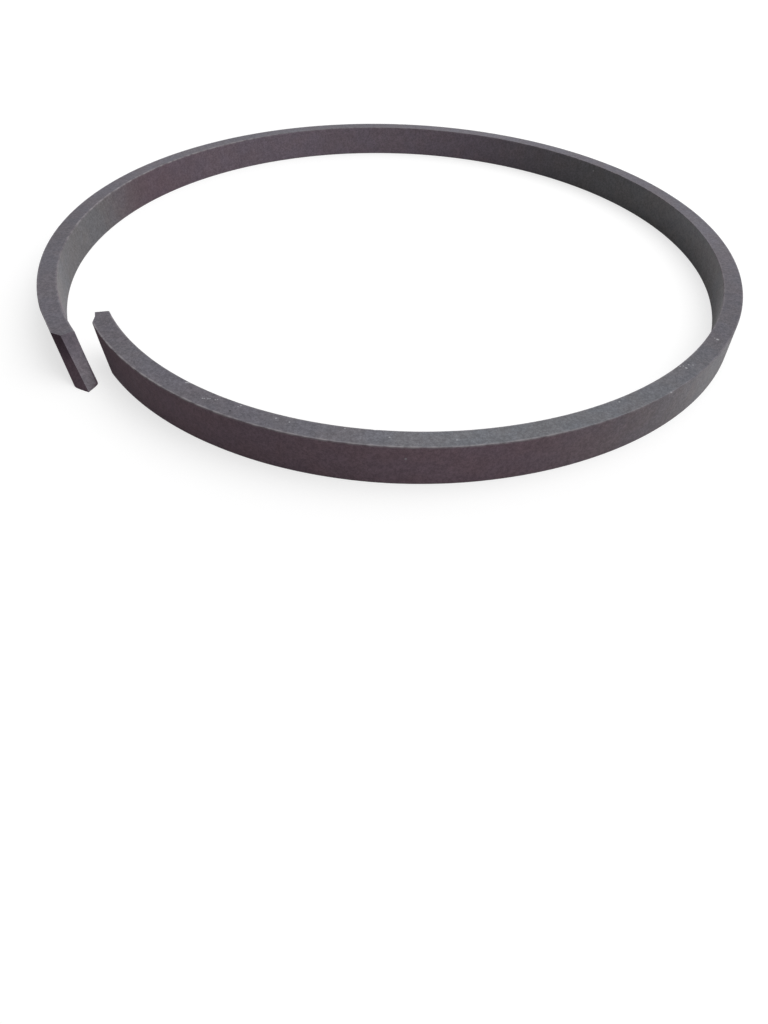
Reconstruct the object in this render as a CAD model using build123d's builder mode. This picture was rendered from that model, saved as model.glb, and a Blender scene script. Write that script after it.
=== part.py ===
from build123d import *
import os
from math import cos, degrees, radians, sqrt, tan

# Split wiper ring in its free state, lying flat. All sizes are in mm, all bearings in degrees
# anticlockwise from +X. +Z is the ring's axis, -Y the front. The ends pass each other at the left front.

# Size of the groove that the closed ring fills
bore_diameter = 200.0
ring_height = 10.5
radial_thickness = 5.0
edge_break = 0.25

# Free shape: four tangent arcs, wider and wider from the inner end round to the outer end
end_gap = 4.5
back_opening = 2.0
outer_end_opening = 4.2
curl_bearing = 280.0
right_back_bearing = 400.0
back_left_bearing = 520.0

# Scarf cuts through the two ends, given at mid height
inner_cut_bearing = 214.0
outer_cut_bearing = 581.54
outer_scarf_angle = 43.7
inner_scarf_angle = 50.0
toe_skew = 0.55
tip_skew = 0.35
bevel_width = 1.8
bevel_slope = 1.95
notch_width = 0.5
notch_depth = 2.1

# Flat trimmed off the outer wall beside the toe, which leans inwards towards the bottom
flat_before_cut = 7.54
flat_depth = 1.06
flat_lean = 4.8

# Extra length past each tip, trimmed away by the cut, and how far the cutters overshoot
cut_margin = 3.0
cut_overshoot = 1.0

half_thickness = radial_thickness / 2
free_radius = bore_diameter / 2 - half_thickness
ridge = half_thickness - bevel_width
notch = ridge + notch_width
beyond = half_thickness + end_gap / 2
outer_run = ring_height / tan(radians(outer_scarf_angle))
inner_run = ring_height / tan(radians(inner_scarf_angle))


def direction(bearing):
    """Unit vector that points outwards at a bearing."""
    return Vector(1, 0, 0).rotate(Axis.Z, bearing)


def curl_radius(back_radius, outer_radius):
    """Radius of the first arc that leaves end_gap between the passing ends."""
    pass_bearing = (inner_cut_bearing + outer_cut_bearing - 360) / 2
    curl = cos(radians(curl_bearing - pass_bearing))
    right_back = cos(radians(right_back_bearing - pass_bearing))
    back_left = cos(radians(back_left_bearing - pass_bearing))
    shifted = (free_radius - back_radius) * right_back + (back_radius - outer_radius) * back_left
    reach = outer_radius - free_radius * curl + shifted
    return (reach - end_gap - radial_thickness) / (1 - curl)


back_radius = free_radius + back_opening
outer_radius = free_radius + outer_end_opening
inner_radius = curl_radius(back_radius, outer_radius)
radii = [inner_radius, free_radius, back_radius, outer_radius]

start_bearing = inner_cut_bearing - degrees((inner_run / 2 + cut_margin) / inner_radius)
end_bearing = outer_cut_bearing + degrees((outer_run / 2 + cut_margin) / outer_radius)
bearings = [start_bearing, curl_bearing, right_back_bearing, back_left_bearing, end_bearing]

# The flat runs out in the outer wall where its depth is used up, to both sides of its own bearing
wall_radius = outer_radius + half_thickness
flat_bearing = outer_cut_bearing - flat_before_cut
flat_half_length = sqrt(2 * wall_radius * flat_depth) + cut_overshoot

centres = [Vector(0, 0, 0)]
for bearing, radius, next_radius in zip(bearings[1:], radii, radii[1:]):
    centres.append(centres[-1] + direction(bearing) * (radius - next_radius))


def arc_chain(offset):
    """Draw the four arcs, moved outwards by offset."""
    arcs = []
    for centre, radius, start, end in zip(centres, radii, bearings, bearings[1:]):
        arcs.append(CenterArc(centre, radius + offset, start, end - start))
    return arcs


def cut_plane(centre, radius, bearing, height):
    """Plane on the centreline: its X points outwards and its Y along the ring, anticlockwise."""
    outwards = direction(bearing)
    return Plane(origin=centre + outwards * radius + Vector(0, 0, height), x_dir=outwards, z_dir=(0, 0, 1))


def flat_cut():
    """Section of what the flat takes away, from its foot on the bottom face: outwards, then up."""
    climb = (ring_height + 2 * cut_overshoot) * tan(radians(flat_lean))
    start = -cut_overshoot * tan(radians(flat_lean))
    far = flat_depth + radial_thickness
    return [
        (start, -cut_overshoot),
        (far, -cut_overshoot),
        (far, ring_height + cut_overshoot),
        (start + climb, ring_height + cut_overshoot),
    ]


def outer_end_cut(height):
    """Outline that trims the outer end, whose cut face looks up: scarf, then bevelled corner."""
    drop = 1 - height / ring_height
    scarf = outer_run * (drop - 0.5)
    skew = toe_skew * drop
    far = outer_run / 2 + cut_margin + cut_overshoot
    return [
        (-beyond, scarf - skew * (beyond + ridge)),
        (ridge, scarf),
        (beyond, scarf - bevel_slope * (beyond - ridge)),
        (beyond, far),
        (-beyond, far),
    ]


def inner_end_cut(height):
    """Outline that trims the inner end, whose cut face looks down: scarf, notch, bevelled corner."""
    drop = 1 - height / ring_height
    scarf = inner_run * (drop - 0.5)
    far = -inner_run / 2 - cut_margin - cut_overshoot
    return [
        (-beyond, scarf + tip_skew * (beyond + ridge)),
        (ridge, scarf),
        (notch, scarf + notch_depth),
        (beyond, scarf + notch_depth + bevel_slope * (beyond - notch)),
        (beyond, far),
        (-beyond, far),
    ]


with BuildPart() as ring:
    with BuildSketch():
        with BuildLine():
            outside = arc_chain(half_thickness)
            inside = arc_chain(-half_thickness)
            Line(outside[0] @ 0, inside[0] @ 0)
            Line(outside[-1] @ 1, inside[-1] @ 1)
        make_face()
    extrude(amount=ring_height)
    chamfer(faces().filter_by(Axis.Z).edges().filter_by(GeomType.CIRCLE), edge_break)

    outwards = direction(flat_bearing)
    foot = centres[-1] + outwards * (wall_radius - flat_depth)
    with BuildSketch(Plane(origin=foot, x_dir=outwards, z_dir=outwards.cross(Vector(0, 0, 1)))):
        with BuildLine():
            Polyline(flat_cut(), close=True)
        make_face()
    extrude(amount=flat_half_length, both=True, mode=Mode.SUBTRACT)

    for height in (-cut_overshoot, ring_height + cut_overshoot):
        with BuildSketch(cut_plane(centres[-1], outer_radius, outer_cut_bearing, height)):
            with BuildLine():
                Polyline(outer_end_cut(height), close=True)
            make_face()
    loft(ruled=True, mode=Mode.SUBTRACT)

    for height in (-cut_overshoot, ring_height + cut_overshoot):
        with BuildSketch(cut_plane(centres[0], inner_radius, inner_cut_bearing, height)):
            with BuildLine():
                Polyline(inner_end_cut(height), close=True)
            make_face()
    loft(ruled=True, mode=Mode.SUBTRACT)

middle = ring.part.bounding_box().center()
with BuildPart() as wiper_ring:
    add(ring.part.moved(Location((-middle.X, -middle.Y, 0))))

wiper_ring.part.label = "wiper_ring"
os.makedirs("parts", exist_ok=True)
export_step(wiper_ring.part, "parts/wiper_ring.step")
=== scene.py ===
import random
from math import asin, cos, degrees, pi, radians, sin, tan

import bmesh
import bpy
from mathutils import Matrix, Vector, noise


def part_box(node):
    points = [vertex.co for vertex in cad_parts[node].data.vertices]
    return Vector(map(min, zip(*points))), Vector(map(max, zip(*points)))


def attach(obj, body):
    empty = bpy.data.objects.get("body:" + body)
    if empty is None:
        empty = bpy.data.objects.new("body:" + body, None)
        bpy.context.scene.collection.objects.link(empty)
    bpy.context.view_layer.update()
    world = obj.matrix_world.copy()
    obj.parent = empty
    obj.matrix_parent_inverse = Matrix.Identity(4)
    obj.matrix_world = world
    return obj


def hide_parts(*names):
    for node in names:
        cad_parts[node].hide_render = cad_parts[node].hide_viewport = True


# Split wiper ring of filled plastic in its free state, lying flat on pale paper
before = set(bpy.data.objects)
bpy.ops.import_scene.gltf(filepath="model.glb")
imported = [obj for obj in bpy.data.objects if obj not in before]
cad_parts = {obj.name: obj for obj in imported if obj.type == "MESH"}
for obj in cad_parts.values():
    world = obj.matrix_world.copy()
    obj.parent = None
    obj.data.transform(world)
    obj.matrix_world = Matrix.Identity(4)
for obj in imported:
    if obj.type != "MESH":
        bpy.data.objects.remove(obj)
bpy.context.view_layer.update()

MM = 0.001
ring_low, ring_high = (Vector(corner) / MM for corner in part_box("wiper_ring"))

# Ring, in mm and in degrees anticlockwise from +X: the same driving sizes as the solid's
RING_HEIGHT = 10.5
HALF_THICKNESS = 2.5
END_GAP = 4.5
FREE_RADIUS = 97.5
BACK_OPENING = 2.0
OUTER_END_OPENING = 4.2
BACK_RADIUS = FREE_RADIUS + BACK_OPENING
OUTER_RADIUS = FREE_RADIUS + OUTER_END_OPENING
BEARINGS = (214.0, 280.0, 400.0, 520.0, 581.54)

# Cuts through the ends: a skewed scarf, then a bevelled corner, with a notch between in the inner one
OUTER_SCARF = radians(43.7)
INNER_SCARF = radians(50.0)
OUTER_RUN = RING_HEIGHT / tan(OUTER_SCARF)
INNER_RUN = RING_HEIGHT / tan(INNER_SCARF)
TOE_SKEW = 0.55
TIP_SKEW = 0.35
BEVEL_WIDTH = 1.8
BEVEL_SLOPE = 1.95
NOTCH_WIDTH = 0.5
NOTCH_DEPTH = 2.1
RIDGE = HALF_THICKNESS - BEVEL_WIDTH
NOTCH = RIDGE + NOTCH_WIDTH

# Flat trimmed off the outer wall beside the toe. It runs out well within its reach, in degrees
FLAT_BEFORE_CUT = 7.54
FLAT_BEARING = BEARINGS[-1] - FLAT_BEFORE_CUT
FLAT_REACH = 20.0
FLAT_DEPTH = 1.06
FLAT_LEAN = tan(radians(4.8))

# Wear of the outer end's cut: its toe is dulled up to a height, and its corners are rounded over a width
TOE_DULLNESS = 0.15
DULL_HEIGHT = 1.0
CORNER_WEAR = 0.8

# Long edges, broken by hand: their radius varies in slow waves and in fine grit, each by a share of it
# and with its own rate per mm. The rows and the layer of the noise only keep the edges apart
EDGE_RADIUS = 0.15
WAVE_SHARE = 0.25
WAVE_RATE = 0.09
WAVE_ROW = 7.3
GRIT_SHARE = 0.2
GRIT_RATE = 1.1
GRIT_ROW = 5.1
GRIT_LAYER = 4.0

# The section's four corners, each with its side and level, and the small chips along their edges
CORNERS = ((-1, 0), (1, 0), (1, 1), (-1, 1))
CHIP_COUNTS = (2, 3, 9, 7)
CHIP_SEED = 7
CHIP_MARGIN = 12.0
CHIP_HALF_LENGTHS = (0.4, 1.3)
CHIP_DEPTHS = (0.04, 0.16)

# How pale the long edges are: rubbed bare all along, at the ends and on a stretch of the top face's outer
# edge at the front, and given a painted highlight on a stretch of its inner edge at the left, each stretch
# given by its middle and its reach
EDGE_WEAR = 0.4
END_WEAR = 0.8
FRONT_RUB = (252.0, 60.0)
LEFT_EDGE_HIGHLIGHT = (515.0, 44.0)

# Mesh: its lines across the section and up the walls, and how it follows the ring and meets the cuts
CORNER_LINES = (0.0, EDGE_RADIUS / 2, EDGE_RADIUS, 0.5)
MIDDLE_LINES = [-1.3, -0.65, 0.0, RIDGE, NOTCH]
WALL_LINES = [1.3, 2.6, 3.9, 5.25, 6.6, 7.9, 9.2]
CORNER_STEPS = 4
STATION_SPACING = 0.42
SHEAR_LENGTH = 34.0
CUT_PASSES = 8
SHARP_ANGLE = radians(32)


def section_lines(low, high, between):
    """Lines across the section, closer together at its corners."""
    return [low + gap for gap in CORNER_LINES] + between + [high - gap for gap in reversed(CORNER_LINES)]


ACROSS = section_lines(-HALF_THICKNESS, HALF_THICKNESS, MIDDLE_LINES)
HEIGHTS = section_lines(0.0, RING_HEIGHT, WALL_LINES)
last_i = len(ACROSS) - 1
last_j = len(HEIGHTS) - 1


def direction(bearing):
    """Unit vector that points outwards at a bearing."""
    return Vector((cos(radians(bearing)), sin(radians(bearing))))


def curl_radius():
    """Radius of the first arc, which leaves END_GAP between the passing ends."""
    pass_bearing = (BEARINGS[0] + BEARINGS[-1] - 360) / 2
    curl, right_back, back_left = (cos(radians(bearing - pass_bearing)) for bearing in BEARINGS[1:4])
    shifted = (FREE_RADIUS - BACK_RADIUS) * right_back + (BACK_RADIUS - OUTER_RADIUS) * back_left
    reach = OUTER_RADIUS - FREE_RADIUS * curl + shifted
    return (reach - END_GAP - 2 * HALF_THICKNESS) / (1 - curl)


# Four tangent arcs, from the inner end round to the outer end
RADII = (curl_radius(), FREE_RADIUS, BACK_RADIUS, OUTER_RADIUS)
centres = [Vector((0.0, 0.0))]
for bearing, radius, next_radius in zip(BEARINGS[1:], RADII, RADII[1:]):
    centres.append(centres[-1] + direction(bearing) * (radius - next_radius))


def place(arc, bearing, across, height):
    """Point on the ring, in mm, from its arc, bearing, offset from the centreline and height."""
    spot = centres[arc] + direction(bearing) * (RADII[arc] + across)
    return Vector((spot.x, spot.y, height))


def smooth(value):
    """Ease from 0 to 1 as value goes from 0 to 1."""
    value = min(max(value, 0.0), 1.0)
    return value * value * (3 - 2 * value)


def corner_wear(across):
    """Share of the wear of a cut face's rounded corners, from 0 inside to 1 at the walls."""
    inside = min(max(0.0, 1 - (HALF_THICKNESS - abs(across)) / CORNER_WEAR), 1.0)
    return 1 - (1 - inside ** 2) ** 0.5


def outer_cut(across, height):
    """How far the outer end reaches along the ring: scarf, bevelled corner and a toe dulled at its foot."""
    drop = 1 - height / RING_HEIGHT
    dulled = TOE_DULLNESS * max(0.0, 1 - height / DULL_HEIGHT) ** 2
    reach = OUTER_RUN * (drop - 0.5) - dulled - CORNER_WEAR * corner_wear(across) * drop
    if across < RIDGE:
        return reach - TOE_SKEW * drop * (RIDGE - across)
    return reach - BEVEL_SLOPE * (across - RIDGE)


def inner_cut(across, height):
    """Where the inner end starts along the ring: scarf, notch, bevelled corner."""
    start = INNER_RUN * (0.5 - height / RING_HEIGHT)
    if across < RIDGE:
        return start + TIP_SKEW * (RIDGE - across)
    if across < NOTCH:
        return start + NOTCH_DEPTH * (across - RIDGE) / (NOTCH - RIDGE)
    return start + NOTCH_DEPTH + BEVEL_SLOPE * (across - NOTCH)


def meet_cut(cut, radius, across, height):
    """Offset and angle from the cut's bearing where a rail of the mesh meets the cut."""
    turn = 0.0
    offset = across
    inside = HALF_THICKNESS - EDGE_RADIUS
    for _ in range(CUT_PASSES):
        straight = (radius + offset) * cos(turn) - radius
        turn = asin(cut(straight, height) / (radius + offset))
        bow = max(0.0, 1 - (across / inside) ** 2)
        offset = across + bow * radius * (1 - cos(turn))
    return offset, degrees(turn)


def trim_to_flat(bearing, across, height):
    """Offset after the outer wall is trimmed flat beside the toe, which draws the bevel in with it."""
    if across < RIDGE or abs(bearing - FLAT_BEARING) > FLAT_REACH:
        return across
    wall = OUTER_RADIUS + HALF_THICKNESS
    flat = wall - FLAT_DEPTH + FLAT_LEAN * height
    trimmed = max(0.0, wall - flat / cos(radians(bearing - FLAT_BEARING)))
    return RIDGE + (across - RIDGE) * (1 - trimmed / (HALF_THICKNESS - RIDGE))


# Stations along the centreline: how far along, on which arc and at which bearing
arc_starts = [0.0]
for radius, bearing, next_bearing in zip(RADII, BEARINGS, BEARINGS[1:]):
    arc_starts.append(arc_starts[-1] + radius * radians(next_bearing - bearing))
ring_length = arc_starts[-1]
station_count = round(ring_length / STATION_SPACING)
stations = []
for step in range(station_count + 1):
    along = ring_length * step / station_count
    arc = max(i for i in range(len(RADII)) if along >= arc_starts[i])
    stations.append((along, arc, BEARINGS[arc] + degrees((along - arc_starts[arc]) / RADII[arc])))

# Chips: on which corner's edge, how far along, half length and depth
random.seed(CHIP_SEED)
chips = []
for corner, count in enumerate(CHIP_COUNTS):
    for _ in range(count):
        middle = random.uniform(CHIP_MARGIN, ring_length - CHIP_MARGIN)
        half_length = random.uniform(*CHIP_HALF_LENGTHS)
        chips.append((corner, middle, half_length, random.uniform(*CHIP_DEPTHS)))


def edge_radius(corner, along):
    """Radius of a long edge: broken by hand, so it varies, with small chips."""
    wave = noise.noise(Vector((along * WAVE_RATE, corner * WAVE_ROW, 0.0)))
    grit = noise.noise(Vector((along * GRIT_RATE, corner * GRIT_ROW, GRIT_LAYER)))
    radius = EDGE_RADIUS * (1 + WAVE_SHARE * wave + GRIT_SHARE * grit)
    for chip_corner, middle, half_length, depth in chips:
        if chip_corner == corner and abs(along - middle) < half_length:
            radius += depth * smooth(1 - abs(along - middle) / half_length)
    return radius


def outline(along):
    """The section's corners and sides at a station, as a grid of (across, height)."""
    grid = [[(across, height) for height in HEIGHTS] for across in ACROSS]
    half = CORNER_STEPS // 2
    for corner, (side, level) in enumerate(CORNERS):
        radius = edge_radius(corner, along)
        middle = (side * (HALF_THICKNESS - radius), RING_HEIGHT - radius if level else radius)
        for step in range(CORNER_STEPS + 1):
            angle = pi / 2 * step / CORNER_STEPS
            i, j = (0, half - step) if step < half else (step - half, 0)
            i = last_i - i if side > 0 else i
            j = last_j - j if level else j
            outwards = (side * cos(angle), (1 if level else -1) * sin(angle))
            grid[i][j] = (middle[0] + radius * outwards[0], middle[1] + radius * outwards[1])
    return grid


def wear_and_highlight_share(i, j, bearing, near_end):
    """How pale the ring is at a place of the section's grid, from wear and from a painted highlight: only
    its edges are.
    """
    if min(i, last_i - i) + min(j, last_j - j) > CORNER_STEPS // 2:
        return 0.0
    # The stretch at the front is rubbed bare, and the one at the left is a painted highlight
    middle, reach = FRONT_RUB if i > last_i / 2 else LEFT_EDGE_HIGHLIGHT
    stretch_paling = smooth(2 - 2 * abs(bearing - middle) / reach) if j > last_j / 2 else 0.0
    return max(EDGE_WEAR, END_WEAR * near_end, stretch_paling)


vertices = []
faces = []
wear_and_highlight = []


def add_vertex(arc, bearing, across, height, paling):
    """Add a point of the ring, trimmed to the flat, and say which one it is."""
    vertices.append(place(arc, bearing, trim_to_flat(bearing, across, height), height))
    wear_and_highlight.append(paling)
    return len(vertices) - 1


# Once round the rim of the section's grid
rim = [(i, 0) for i in range(last_i)]
rim += [(last_i, j) for j in range(last_j)]
rim += [(i, last_j) for i in range(last_i, 0, -1)]
rim += [(0, j) for j in range(last_j, 0, -1)]

# Where each rail meets the two cuts
inner_end = {}
outer_end = {}
first_grid = outline(0.0)
for i in range(last_i + 1):
    for j in range(last_j + 1):
        inner_end[i, j] = meet_cut(inner_cut, RADII[0], *first_grid[i][j])
        outer_end[i, j] = meet_cut(outer_cut, RADII[-1], *first_grid[i][j])

# Skin: one loop at each station, sheared towards the cuts near the ends
loops = []
for along, arc, bearing in stations:
    grid = outline(along)
    near_inner = smooth(1 - along / SHEAR_LENGTH)
    near_outer = smooth(1 - (ring_length - along) / SHEAR_LENGTH)
    near_end = max(near_inner, near_outer)
    loop = []
    for i, j in rim:
        across, height = grid[i][j]
        inner_offset, inner_turn = inner_end[i, j]
        outer_offset, outer_turn = outer_end[i, j]
        across += near_inner * (inner_offset - first_grid[i][j][0])
        across += near_outer * (outer_offset - first_grid[i][j][0])
        sheared = bearing + near_inner * inner_turn + near_outer * outer_turn
        loop.append(add_vertex(arc, sheared, across, height, wear_and_highlight_share(i, j, bearing, near_end)))
    loops.append(loop)
for loop, next_loop in zip(loops, loops[1:]):
    for here in range(len(rim)):
        beside = (here + 1) % len(rim)
        faces.append((loop[here], loop[beside], next_loop[beside], next_loop[here]))

# Cut faces at the two ends
caps = (
    (loops[0], inner_end, 0, BEARINGS[0]),
    (loops[-1], outer_end, len(RADII) - 1, BEARINGS[-1]),
)
for loop, ends, arc, bearing in caps:
    cap = dict(zip(rim, loop))
    for i in range(1, last_i):
        for j in range(1, last_j):
            offset, turn = ends[i, j]
            cap[i, j] = add_vertex(arc, bearing + turn, offset, HEIGHTS[j], 0.0)
    for i in range(last_i):
        for j in range(last_j):
            faces.append((cap[i, j], cap[i + 1, j], cap[i + 1, j + 1], cap[i, j + 1]))


def in_scene(name, content):
    """Put a mesh, a lamp or a camera into the scene."""
    made = bpy.data.objects.new(name, content)
    bpy.context.scene.collection.objects.link(made)
    return made


# The middle of the ring's box stands over the frame's origin, as the solid's does
low = Vector([min(spot[axis] for spot in vertices) for axis in range(3)])
high = Vector([max(spot[axis] for spot in vertices) for axis in range(3)])
shift = (ring_low + ring_high - low - high) / 2
shift.z = 0.0
mesh = bpy.data.meshes.new("wiper_ring_body")
mesh.from_pydata([(spot + shift) * MM for spot in vertices], [], faces)
shape = bmesh.new()
shape.from_mesh(mesh)
bmesh.ops.recalc_face_normals(shape, faces=shape.faces)
shape.to_mesh(mesh)
shape.free()
for face in mesh.polygons:
    face.use_smooth = True
mesh.set_sharp_from_angle(angle=SHARP_ANGLE)
mesh.attributes.new("wear_and_highlight", "FLOAT", "POINT").data.foreach_set("value", wear_and_highlight)
body = in_scene("wiper_ring_body", mesh)
even_shading = body.modifiers.new("even_shading", "WEIGHTED_NORMAL")
even_shading.keep_sharp = True


def add(tree, kind, inputs=None, **settings):
    """Add a node, set its settings, then join or set its inputs by name or number."""
    made = tree.nodes.new(kind)
    for name, value in settings.items():
        setattr(made, name, value)
    for name, value in (inputs or {}).items():
        if isinstance(value, bpy.types.NodeSocket):
            tree.links.new(value, made.inputs[name])
        else:
            made.inputs[name].default_value = value
    return made


def new_material(name):
    """Material without nodes, and its node tree."""
    made = bpy.data.materials.new(name)
    made.use_nodes = True
    made.node_tree.nodes.clear()
    return made, made.node_tree


def maths(tree, operation, first, second=0.0, third=0.0, clamp=False):
    """Result of one operation on numbers or sockets."""
    sockets = {0: first, 1: second, 2: third}
    return add(tree, "ShaderNodeMath", sockets, operation=operation, use_clamp=clamp).outputs[0]


def grain(tree, vector, scale, detail):
    """Noise whose features are about 1 / scale metres wide."""
    inputs = {"Vector": vector, "Scale": scale, "Detail": detail}
    return add(tree, "ShaderNodeTexNoise", inputs).outputs["Fac"]


def ramp(tree, value, span, to_low=0.0, to_high=1.0):
    """Eased change from to_low to to_high as value goes over a span."""
    low, high = span
    inputs = {"Value": value, "From Min": low, "From Max": high, "To Min": to_low, "To Max": to_high}
    return add(tree, "ShaderNodeMapRange", inputs, interpolation_type="SMOOTHSTEP").outputs["Result"]


def ramp_mm(tree, length, span, to_low=0.0, to_high=1.0):
    """Ramp for a length in metres, over a span given in mm."""
    return ramp(tree, length, [end * MM for end in span], to_low, to_high)


def ramp_noise(tree, pattern, spread, to_low=0.0, to_high=1.0):
    """Ramp over the middle of a noise pattern, spread to each side of a half."""
    return ramp(tree, pattern, (0.5 - spread, 0.5 + spread), to_low, to_high)


def blend(tree, factor, first, second, mode="MIX"):
    """Colour between two colours, or one times the other."""
    inputs = {0: factor, 6: first, 7: second}
    return add(tree, "ShaderNodeMix", inputs, data_type="RGBA", blend_type=mode).outputs[2]


def scaled(tree, colour, *tones):
    """Colour times each tone in turn."""
    for tone in tones:
        made = add(tree, "ShaderNodeVectorMath", {0: colour, "Scale": tone}, operation="SCALE")
        colour = made.outputs[0]
    return colour


def distance(tree, vector, place_mm):
    """Distance in metres to a place given in mm."""
    inputs = {0: vector, 1: Vector(place_mm) * MM}
    return add(tree, "ShaderNodeVectorMath", inputs, operation="DISTANCE").outputs["Value"]


# Share of a speck's radius within which it has its full strength
SPECK_CORE = 0.15


def spots(tree, vector, places, core=SPECK_CORE):
    """1 on round spots, given as x, y, height and radius in mm, and 0 elsewhere."""
    total = 0.0
    for x, y, height, radius in places:
        gap = distance(tree, vector, (x, y, height))
        mark = ramp_mm(tree, gap, (radius * core, radius), 1.0, 0.0)
        total = maths(tree, "MAXIMUM", mark, total)
    return total


def painted_light_tone(tree, vector, patches):
    """Tone around 1 that is lighter or darker within soft round patches of painted light and shade."""
    tone = 1.0
    for x, y, radius, amount in patches:
        mark = spots(tree, vector, [(x, y, RING_HEIGHT / 2, radius)], core=0.0)
        tone = maths(tree, "MULTIPLY_ADD", mark, amount, third=tone)
    return tone


# Where the surface turns from wall to cut face, from bevel to scarf and from scarf to turned face,
# by its flatness, from 0 when it stands upright to 1 when it lies flat
CUT_LEVEL = (0.15, 0.30)
SCARF_LEVEL = (0.45, 0.60)
TURNED_LEVEL = (0.80, 0.95)

# Walls: brown at the front, greyer towards the sides with a painted reflection, a little paler at the back
WALL_WARM = (0.197, 0.139, 0.167, 1.0)
WALL_BACK = (0.228, 0.185, 0.222, 1.0)
WALL_SHEEN_GREY = (0.215, 0.209, 0.219, 1.0)
BACK_SPAN = (20.0, 80.0)
SHEEN_SPAN = (20.0, 85.0)

# Where the walls take the painted grey reflection at the left, and where they stay brown beside it: x, y,
# height and radius
SHEEN_LEFT = [(-94.0, -26.0, 5.0, 68.0)]
SHEEN_LEFT_CORE = 0.45
BROWN_FRONT = [(-66.0, -72.0, 5.0, 40.0)]
BROWN_FRONT_CORE = 0.5

# The walls at the far right have painted shade at the foot and a painted highlight at the top
FAR_RIGHT_SPAN = (80.0, 96.0)
FOOT_TO_TOP = (1.0, RING_HEIGHT)
PAINTED_FOOT_SHADE = -0.14
PAINTED_TOP_HIGHLIGHT = 0.26

# Turned faces, and the place at the front around which they are coolest, by a share that swings a little
TURNED_WARM = (0.146, 0.136, 0.156, 1.0)
TURNED_COOL = (0.146, 0.149, 0.163, 1.0)
COOL_FRONT = (38.0, -88.0, 0.0)
COOL_FRONT_SPAN = (20.0, 70.0)
MOST_COOL = 0.9
LEAST_COOL = 0.1
COOL_SWING = 0.1

# Cut faces of the ends, paler towards the foot with painted light. The steep bevel is tinted, and darker in
# its upper part
CUT_TOP = (0.138, 0.117, 0.138, 1.0)
CUT_FOOT_PAINTED_LIGHT = (0.232, 0.213, 0.240, 1.0)
BEVEL_TINT = (0.62, 0.48, 0.53, 1.0)
BEVEL_DARKNESS = 0.35
BEVEL_DARK_FROM = 0.4

# Painted light and shade: stretches of the turned faces and of the walls that are lighter or darker: x, y,
# radius, amount
# Painted light and shade on the top and bottom faces
TURNED_LIGHT_PATCHES = [
    (25.0, -94.0, 70.0, 0.08),
    (85.0, -45.0, 64.0, -0.22),
    (-97.0, -15.0, 75.0, -0.12),
    (-62.0, -68.0, 30.0, -0.07),
    (20.0, 97.0, 90.0, 0.10),
    (-17.0, 96.0, 36.0, -0.12),
]
# Painted light and shade on the walls: a painted reflection at the right front, a painted highlight on the
# inner wall at the left, painted shade at the left front
WALL_LIGHT_PATCHES = [
    (-66.0, -72.0, 34.0, -0.28),
    (78.0, -66.0, 36.0, 0.38),
    (60.0, 75.0, 60.0, -0.16),
    (-88.0, 42.0, 66.0, -0.20),
    (-88.0, -46.0, 26.0, 0.25),
]

# Noise patterns of the filler, from the finest to the slowest: how many to a metre, and their detail
DUST = (3400.0, 1.0)
FINE = (1400.0, 2.0)
MEDIUM = (480.0, 3.0)
BLOTCH = (150.0, 2.0)
PATCH = (60.0, 2.0)
DRIFT = (21.0, 1.0)

# How far each pattern swings the tone. The walls and cut faces have less of the two finest
DUST_SWING = 0.115
FINE_SWING = 0.14
MEDIUM_SWING = 0.05
DRIFT_SWING = 0.05
WALL_CONTRAST = 0.8

# How far to each side of a half the patterns are used, for tones, tints, worn and highlit edges and
# roughness
TONE_SPREAD = 0.16
TINT_SPREAD = 0.14
PALING_SPREAD = 0.15
ROUGH_SPREAD = 0.2

# Blotches of a warmer and of a cooler tint
WARMER = (1.015, 1.0, 0.985, 1.0)
COOLER = (0.985, 1.0, 1.015, 1.0)

# Edges rubbed paler, and one stretch paler with a painted highlight, by the least and the most that the
# grain lets through
WORN_AND_HIGHLIT = (0.31, 0.29, 0.305, 1.0)
LEAST_PALING = 0.2
MOST_PALING = 0.9

# Random pale flecks: cells to a metre, how wide a fleck is in its cell, and the share of cells without one
PALE = (0.44, 0.44, 0.46, 1.0)
FLECK_CELLS = 260.0
FLECK_WIDTH = (0.05, 0.09)
FLECK_SHARE = (0.93, 0.94)
FLECK_STRENGTH = 0.8

# Pale specks where the photograph shows them: on the top face by x, y and radius, and one on the outer wall
TOP_SPECKS = (
    (82.40, -55.18, 0.56), (81.85, -54.60, 0.24), (70.97, -68.13, 0.46), (69.66, -67.51, 0.30),
    (70.53, -67.36, 0.27), (71.92, -66.77, 0.30), (72.94, -66.78, 0.27), (64.86, -77.92, 0.35),
    (52.30, -82.22, 0.30), (2.23, -97.43, 0.30), (16.01, -97.31, 0.27), (75.66, -60.39, 0.30),
    (-7.10, -95.40, 0.24), (-18.80, -94.10, 0.26), (-21.75, -93.06, 0.30), (-29.87, -89.44, 0.32),
    (-30.41, -89.82, 0.22), (-35.72, -87.87, 0.22), (-35.30, -87.75, 0.22), (-37.37, -87.61, 0.24),
    (-36.94, -87.58, 0.22), (-38.60, -87.57, 0.24), (-38.20, -87.55, 0.24),
)
WALL_SPECK = (5.73, -100.30, 7.30, 0.38)
SPECKS = [(x, y, RING_HEIGHT, radius) for x, y, radius in TOP_SPECKS] + [WALL_SPECK]

# A dark pit in the top face
DARK = (0.05, 0.045, 0.05, 1.0)
PITS = [(-31.80, -91.33, RING_HEIGHT, 0.34)]

# A short pale fibre that lies on the top face at the front left
FIBRE_START = Vector((-43.55, -82.27, RING_HEIGHT))
FIBRE_END = Vector((-42.45, -82.30, RING_HEIGHT))
FIBRE_RADIUS = 0.3
FIBRE_STEPS = 6
FIBRE = []
for step in range(FIBRE_STEPS + 1):
    FIBRE.append((*FIBRE_START.lerp(FIBRE_END, step / FIBRE_STEPS), FIBRE_RADIUS))

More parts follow.
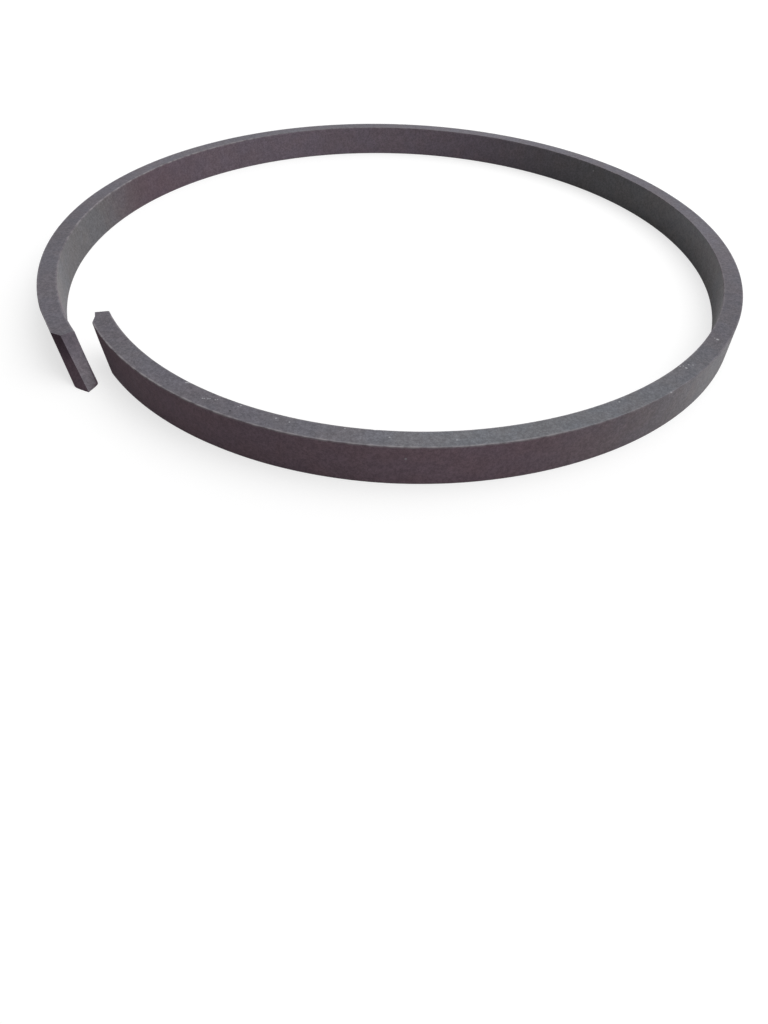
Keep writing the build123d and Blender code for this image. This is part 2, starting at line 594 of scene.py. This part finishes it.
# Matt surface, with a low relief that follows the grain
ROUGHNESS = (0.70, 0.82)
SPECULAR = 0.1
RELIEF_STRENGTH = 0.35
RELIEF_MM = 0.06
DUST_RELIEF = 0.5


def wall_colour(tree, spot_on, axes):
    """Colour of the walls, from the place and its coordinates, with a painted reflection, painted light and
    painted shade in it.
    """
    to_right = ramp_mm(tree, axes["X"], SHEEN_SPAN)
    to_left = spots(tree, spot_on, SHEEN_LEFT, SHEEN_LEFT_CORE)
    brown_front = spots(tree, spot_on, BROWN_FRONT, BROWN_FRONT_CORE)
    # Share of the painted grey reflection: towards the right and at the left, but not at the brown front
    cool = maths(tree, "SUBTRACT", maths(tree, "ADD", to_right, to_left), brown_front, clamp=True)
    to_back = ramp_mm(tree, axes["Y"], BACK_SPAN)
    wall = blend(tree, cool, blend(tree, to_back, WALL_WARM, WALL_BACK), WALL_SHEEN_GREY)
    far_right = ramp_mm(tree, axes["X"], FAR_RIGHT_SPAN)
    # Painted shade at the foot of the far right walls, and a painted highlight at their top
    shade_to_highlight = ramp_mm(tree, axes["Z"], FOOT_TO_TOP, PAINTED_FOOT_SHADE, PAINTED_TOP_HIGHLIGHT)
    painted_right_light = maths(tree, "MULTIPLY_ADD", far_right, shade_to_highlight, third=1.0)
    # Painted light and shade in patches, and on the far right walls
    return scaled(tree, wall, painted_light_tone(tree, spot_on, WALL_LIGHT_PATCHES), painted_right_light)


def turned_colour(tree, spot_on):
    """Colour of the turned faces, above and below."""
    from_cool = distance(tree, spot_on, COOL_FRONT)
    cool = ramp_mm(tree, from_cool, COOL_FRONT_SPAN, MOST_COOL, LEAST_COOL)
    swing = ramp_noise(tree, grain(tree, spot_on, *PATCH), TINT_SPREAD, -COOL_SWING, COOL_SWING)
    colour = blend(tree, maths(tree, "ADD", cool, swing), TURNED_WARM, TURNED_COOL)
    # Painted light and shade in patches
    return scaled(tree, colour, painted_light_tone(tree, spot_on, TURNED_LIGHT_PATCHES))


def cut_colour(tree, axes, flatness):
    """Colour of the cut faces: scarf, paler towards the foot with painted light, and a darker, browner
    bevel.
    """
    to_top = ramp_mm(tree, axes["Z"], (0.0, RING_HEIGHT))
    # Painted light that grows towards the foot of the cut faces
    scarf = blend(tree, to_top, CUT_FOOT_PAINTED_LIGHT, CUT_TOP)
    darker_up = ramp(tree, to_top, (BEVEL_DARK_FROM, 1.0), 1.0, 1 - BEVEL_DARKNESS)
    bevel = scaled(tree, blend(tree, 1.0, scarf, BEVEL_TINT, "MULTIPLY"), darker_up)
    return blend(tree, ramp(tree, flatness, SCARF_LEVEL, 1.0, 0.0), scarf, bevel)


def grained(tree, pattern, amount, contrast):
    """Tone around 1 that follows a noise pattern, up to amount times contrast lighter or darker."""
    swing = maths(tree, "MULTIPLY", ramp_noise(tree, pattern, TONE_SPREAD, -amount, amount), contrast)
    return maths(tree, "ADD", swing, 1.0)


def with_specks(tree, spot_on, colour):
    """Colour with the random flecks, the specks, the fibre and the pit on it."""
    cells = add(tree, "ShaderNodeTexVoronoi", {"Vector": spot_on, "Scale": FLECK_CELLS})
    in_cell = ramp(tree, cells.outputs["Distance"], FLECK_WIDTH, 1.0, 0.0)
    cell_draw = add(tree, "ShaderNodeSeparateColor", {0: cells.outputs["Color"]}).outputs[0]
    flecks = maths(tree, "MULTIPLY", in_cell, ramp(tree, cell_draw, FLECK_SHARE))
    flecks = maths(tree, "MAXIMUM", flecks, spots(tree, spot_on, SPECKS + FIBRE))
    speckled = blend(tree, maths(tree, "MULTIPLY", flecks, FLECK_STRENGTH), colour, PALE)
    return blend(tree, spots(tree, spot_on, PITS), speckled, DARK)


def filled_plastic():
    """Matt grey-brown plastic with fine filler grain, browner on the walls and paler on worn edges, with
    painted light, shade and reflection on its faces and a painted highlight on one edge.
    """
    made, tree = new_material("filled_plastic")
    spot_on = add(tree, "ShaderNodeTexCoord").outputs["Object"]
    axes = add(tree, "ShaderNodeSeparateXYZ", {0: spot_on}).outputs
    normal = add(tree, "ShaderNodeNewGeometry").outputs["True Normal"]
    flatness = maths(tree, "ABSOLUTE", add(tree, "ShaderNodeSeparateXYZ", {0: normal}).outputs["Z"])
    turned_part = ramp(tree, flatness, TURNED_LEVEL)
    dust = grain(tree, spot_on, *DUST)
    fine = grain(tree, spot_on, *FINE)
    medium = grain(tree, spot_on, *MEDIUM)
    blotch = grain(tree, spot_on, *BLOTCH)
    drift = grain(tree, spot_on, *DRIFT)

    walls = wall_colour(tree, spot_on, axes)
    colour = blend(tree, ramp(tree, flatness, CUT_LEVEL), walls, cut_colour(tree, axes, flatness))
    colour = blend(tree, turned_part, colour, turned_colour(tree, spot_on))
    tint = blend(tree, ramp_noise(tree, blotch, TINT_SPREAD), WARMER, COOLER)
    contrast = ramp(tree, turned_part, (0.0, 1.0), WALL_CONTRAST, 1.0)
    tones = (
        grained(tree, dust, DUST_SWING, contrast),
        grained(tree, fine, FINE_SWING, contrast),
        grained(tree, medium, MEDIUM_SWING, 1.0),
        grained(tree, drift, DRIFT_SWING, 1.0),
    )
    colour = scaled(tree, blend(tree, 1.0, colour, tint, "MULTIPLY"), *tones)
    # Edges paled by wear, and at the left by a painted highlight
    paling_on = add(tree, "ShaderNodeAttribute", attribute_name="wear_and_highlight").outputs["Fac"]
    let_through = ramp_noise(tree, medium, PALING_SPREAD, LEAST_PALING, MOST_PALING)
    colour = blend(tree, maths(tree, "MULTIPLY", paling_on, let_through), colour, WORN_AND_HIGHLIT)

    dust_relief = maths(tree, "MULTIPLY", dust, DUST_RELIEF)
    relief = maths(tree, "ADD", dust_relief, maths(tree, "ADD", fine, medium))
    bump = {"Strength": RELIEF_STRENGTH, "Distance": RELIEF_MM * MM, "Height": relief}
    surface = {
        "Base Color": with_specks(tree, spot_on, colour),
        "Roughness": ramp_noise(tree, fine, ROUGH_SPREAD, *ROUGHNESS),
        "Normal": add(tree, "ShaderNodeBump", bump).outputs[0],
        "Specular IOR Level": SPECULAR,
    }
    shader = add(tree, "ShaderNodeBsdfPrincipled", surface)
    add(tree, "ShaderNodeOutputMaterial", {"Surface": shader.outputs[0]})
    return made


mesh.materials.append(filled_plastic())

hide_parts("wiper_ring")
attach(body, "root")


def seen_directly(tree):
    """1 for camera, glossy and transmission rays, so that they all see the same pale background."""
    path = add(tree, "ShaderNodeLightPath")
    total = maths(tree, "ADD", path.outputs["Is Camera Ray"], path.outputs["Is Glossy Ray"])
    return maths(tree, "ADD", total, path.outputs["Is Transmission Ray"], clamp=True)


# Floor of pale paper that turns to plain white away from the ring, out of the lamps' reach, in metres
FLOOR_HALF = 3.0
FLOOR_COLOUR = (0.38, 0.38, 0.38, 1.0)
FLOOR_GLOW = 0.68
FADE_SPAN = (0.2, 0.8)


def pale_paper():
    """Paper that takes the ring's shadow and glows towards what looks at it."""
    made, tree = new_material("floor")
    floor_spot = add(tree, "ShaderNodeTexCoord").outputs["Object"]
    from_ring = add(tree, "ShaderNodeVectorMath", {0: floor_spot}, operation="LENGTH").outputs["Value"]
    whiteness = ramp(tree, from_ring, FADE_SPAN, FLOOR_GLOW, 1.0)
    lit = add(tree, "ShaderNodeBsdfDiffuse", {"Color": FLOOR_COLOUR})
    strength = maths(tree, "MULTIPLY", seen_directly(tree), whiteness)
    glow = add(tree, "ShaderNodeEmission", {"Strength": strength})
    both = add(tree, "ShaderNodeAddShader", {0: lit.outputs[0], 1: glow.outputs[0]})
    add(tree, "ShaderNodeOutputMaterial", {"Surface": both.outputs[0]})
    return made


floor_mesh = bpy.data.meshes.new("floor")
floor_corners = [(x * FLOOR_HALF, y * FLOOR_HALF, 0) for x, y in ((-1, -1), (1, -1), (1, 1), (-1, 1))]
floor_mesh.from_pydata(floor_corners, [], [(0, 1, 2, 3)])
floor_mesh.materials.append(pale_paper())
floor = in_scene("floor", floor_mesh)

WORLD_LIGHT = 0.16
WHITE = (1.0, 1.0, 1.0, 1.0)


def studio_world():
    """World that is white behind the object and faint as a light."""
    made = bpy.data.worlds.new("studio")
    made.use_nodes = True
    tree = made.node_tree
    tree.nodes.clear()
    strength = ramp(tree, seen_directly(tree), (0.0, 1.0), WORLD_LIGHT, 1.0)
    sky = add(tree, "ShaderNodeBackground", {"Color": WHITE, "Strength": strength})
    add(tree, "ShaderNodeOutputWorld", {"Surface": sky.outputs[0]})
    return made


bpy.context.scene.world = studio_world()

# Round soft lamps that face the ring: name, bearing, angle above the floor and power in watts
LAMPS = (
    ("right", 0, 60, 12.0),
    ("right_back", 45, 60, 7.5),
    ("back", 90, 25, 4.5),
    ("front_right", 315, 40, 2.4),
)
LAMP_DISTANCE = 1.4
LAMP_WIDTH = 1.6
for name, bearing, climb, power in LAMPS:
    light = bpy.data.lights.new(name, "AREA")
    light.shape = "DISK"
    light.size = LAMP_WIDTH
    light.energy = power
    outwards = direction(bearing) * cos(radians(climb))
    spot = Vector((outwards.x, outwards.y, sin(radians(climb)))) * LAMP_DISTANCE
    lamp = in_scene(name, light)
    lamp.location = spot
    lamp.rotation_euler = (-spot).to_track_quat("-Z", "Y").to_euler()

# Camera as in the photograph: its place in metres, pitch down, turn to the right, roll, lens and shift
CAMERA_SPOT = Vector((0.00431, -0.20481, 0.10598))
PITCH = radians(40.164)
YAW = radians(-0.604)
ROLL = radians(2.204)
LENS = 24.705
SENSOR_WIDTH = 36.0
SHIFT_X = -0.01068
SHIFT_Y = -0.09045
CLIP_START = 0.01
CLIP_END = 20.0
forward = Vector((sin(YAW) * cos(PITCH), cos(YAW) * cos(PITCH), -sin(PITCH)))
level = Vector((cos(YAW), -sin(YAW), 0))
rise = level.cross(forward)
to_side = cos(ROLL) * level + sin(ROLL) * rise
to_top = cos(ROLL) * rise - sin(ROLL) * level
lens = bpy.data.cameras.new("camera")
lens.sensor_width = SENSOR_WIDTH
lens.lens = LENS
lens.shift_x = SHIFT_X
lens.shift_y = SHIFT_Y
lens.clip_start = CLIP_START
lens.clip_end = CLIP_END
camera = in_scene("camera", lens)
facing = Matrix((to_side, to_top, -forward)).transposed().to_4x4()
camera.matrix_world = Matrix.Translation(CAMERA_SPOT) @ facing
bpy.context.scene.camera = camera

bpy.context.scene.view_settings.view_transform = "Standard"
